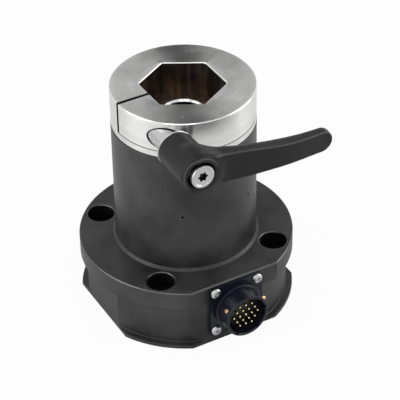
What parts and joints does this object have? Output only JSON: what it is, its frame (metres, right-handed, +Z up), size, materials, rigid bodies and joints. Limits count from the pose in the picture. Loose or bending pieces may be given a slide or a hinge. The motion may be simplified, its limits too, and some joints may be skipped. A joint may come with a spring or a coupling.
{
  "type": "rotary torque sensor",
  "caption": "Upright torque sensor with a round flanged base, tall dark sleeve, bright hexagon clamp head with a clamping lever, and a round multi-pin connector.",
  "frame": {"origin": "centre of the mounting foot, on the measuring axis", "axes": "+Z up along the measuring axis, connector towards -Y, clamp slit towards -X"},
  "size_m": [0.1064, 0.1138, 0.1204],
  "materials": {
    "base_steel": "burnished dark steel, satin",
    "sleeve_steel": "burnished dark steel, fine turned satin",
    "head_steel": "bright turned steel",
    "screw_steel": "bright zinc plated steel",
    "black_screw": "black oxide steel",
    "bearing_steel": "ground bearing steel",
    "cage_plastic": "natural polyamide",
    "spring_steel": "spring steel",
    "seal_rubber": "matt nitrile rubber",
    "lever_plastic": "glass-filled plastic, fine matt texture",
    "ferrite": "dark grey ferrite",
    "copper": "enamelled copper",
    "board_green": "green solder mask",
    "chip_black": "moulded black",
    "gauge_foil": "amber film with foil",
    "wire_insulation": "red insulation",
    "disc_aluminium": "satin aluminium",
    "brass_post": "turned brass",
    "anodised_black": "black anodised, slightly blue",
    "insert_black": "moulded black",
    "gold": "gold plated"
  },
  "bodies": {
    "housing": {"base_body": "base_steel", "housing_sleeve": "sleeve_steel", "base_screws": "black_screw", "upper_outer_race": "bearing_steel", "lower_outer_race": "bearing_steel", "upper_housing_ring": "spring_steel", "lower_housing_ring": "spring_steel", "coil_ring": "spring_steel", "upper_seal": "seal_rubber", "lower_seal": "seal_rubber", "stator_core": "ferrite", "stator_winding": "copper", "read_head": "chip_black", "circuit_board": "board_green", "board_standoffs": "brass_post", "board_screws": "screw_steel", "board_chips": "chip_black", "board_plug": "insert_black", "signal_wires": "wire_insulation", "coil_leads": "wire_insulation", "connector_shell": "anodised_black", "connector_gasket": "seal_rubber", "connector_insert": "insert_black", "contact_pins": "gold", "bayonet_studs": "brass_post", "connector_screws": "screw_steel"},
    "rotor": {"measuring_shaft": "head_steel", "upper_inner_race": "bearing_steel", "lower_inner_race": "bearing_steel", "upper_shaft_ring": "spring_steel", "lower_shaft_ring": "spring_steel", "rotor_core": "ferrite", "rotor_winding": "copper", "rotor_board": "board_green", "strain_gauges": "gauge_foil", "gauge_wires": "wire_insulation", "encoder_disc": "disc_aluminium", "clamp_bush": "screw_steel", "lever_washer": "screw_steel"},
    "upper_cage": {"upper_bearing_balls": "bearing_steel", "upper_bearing_cage": "cage_plastic"},
    "lower_cage": {"lower_bearing_balls": "bearing_steel", "lower_bearing_cage": "cage_plastic"},
    "clamp_screw": {"clamp_stud": "screw_steel", "lever_cap_screw": "screw_steel", "lever_spring": "spring_steel"},
    "lever": {"lever_handle": "lever_plastic"}
  },
  "joints": [
    {"name": "head_turn", "type": "hinge", "parent": "housing", "child": "rotor", "pos_m": [0, 0, 0], "axis": [0, 0, 1], "continuous": true},
    {"name": "upper_cage_turn", "type": "hinge", "parent": "housing", "child": "upper_cage", "pos_m": [0, 0, 0], "axis": [0, 0, 1], "continuous": true},
    {"name": "lower_cage_turn", "type": "hinge", "parent": "housing", "child": "lower_cage", "pos_m": [0, 0, 0], "axis": [0, 0, 1], "continuous": true},
    {"name": "clamp_turn", "type": "hinge", "parent": "rotor", "child": "clamp_screw", "pos_m": [-0.02336, 0, 0.1108], "axis": [0, -1, 0], "range_deg": [0, 180]},
    {"name": "lever_lift", "type": "slide", "parent": "clamp_screw", "child": "lever", "axis": [0, -1, 0], "range_m": [0, 0.0035], "stiffness_N_per_m": 1500, "springref_m": -0.004, "deforming": ["lever_spring"]}
  ],
  "couplings": [
    {"joint": "upper_cage_turn", "follows": "head_turn", "ratio": 0.4587},
    {"joint": "lower_cage_turn", "follows": "head_turn", "ratio": 0.4472}
  ]
}
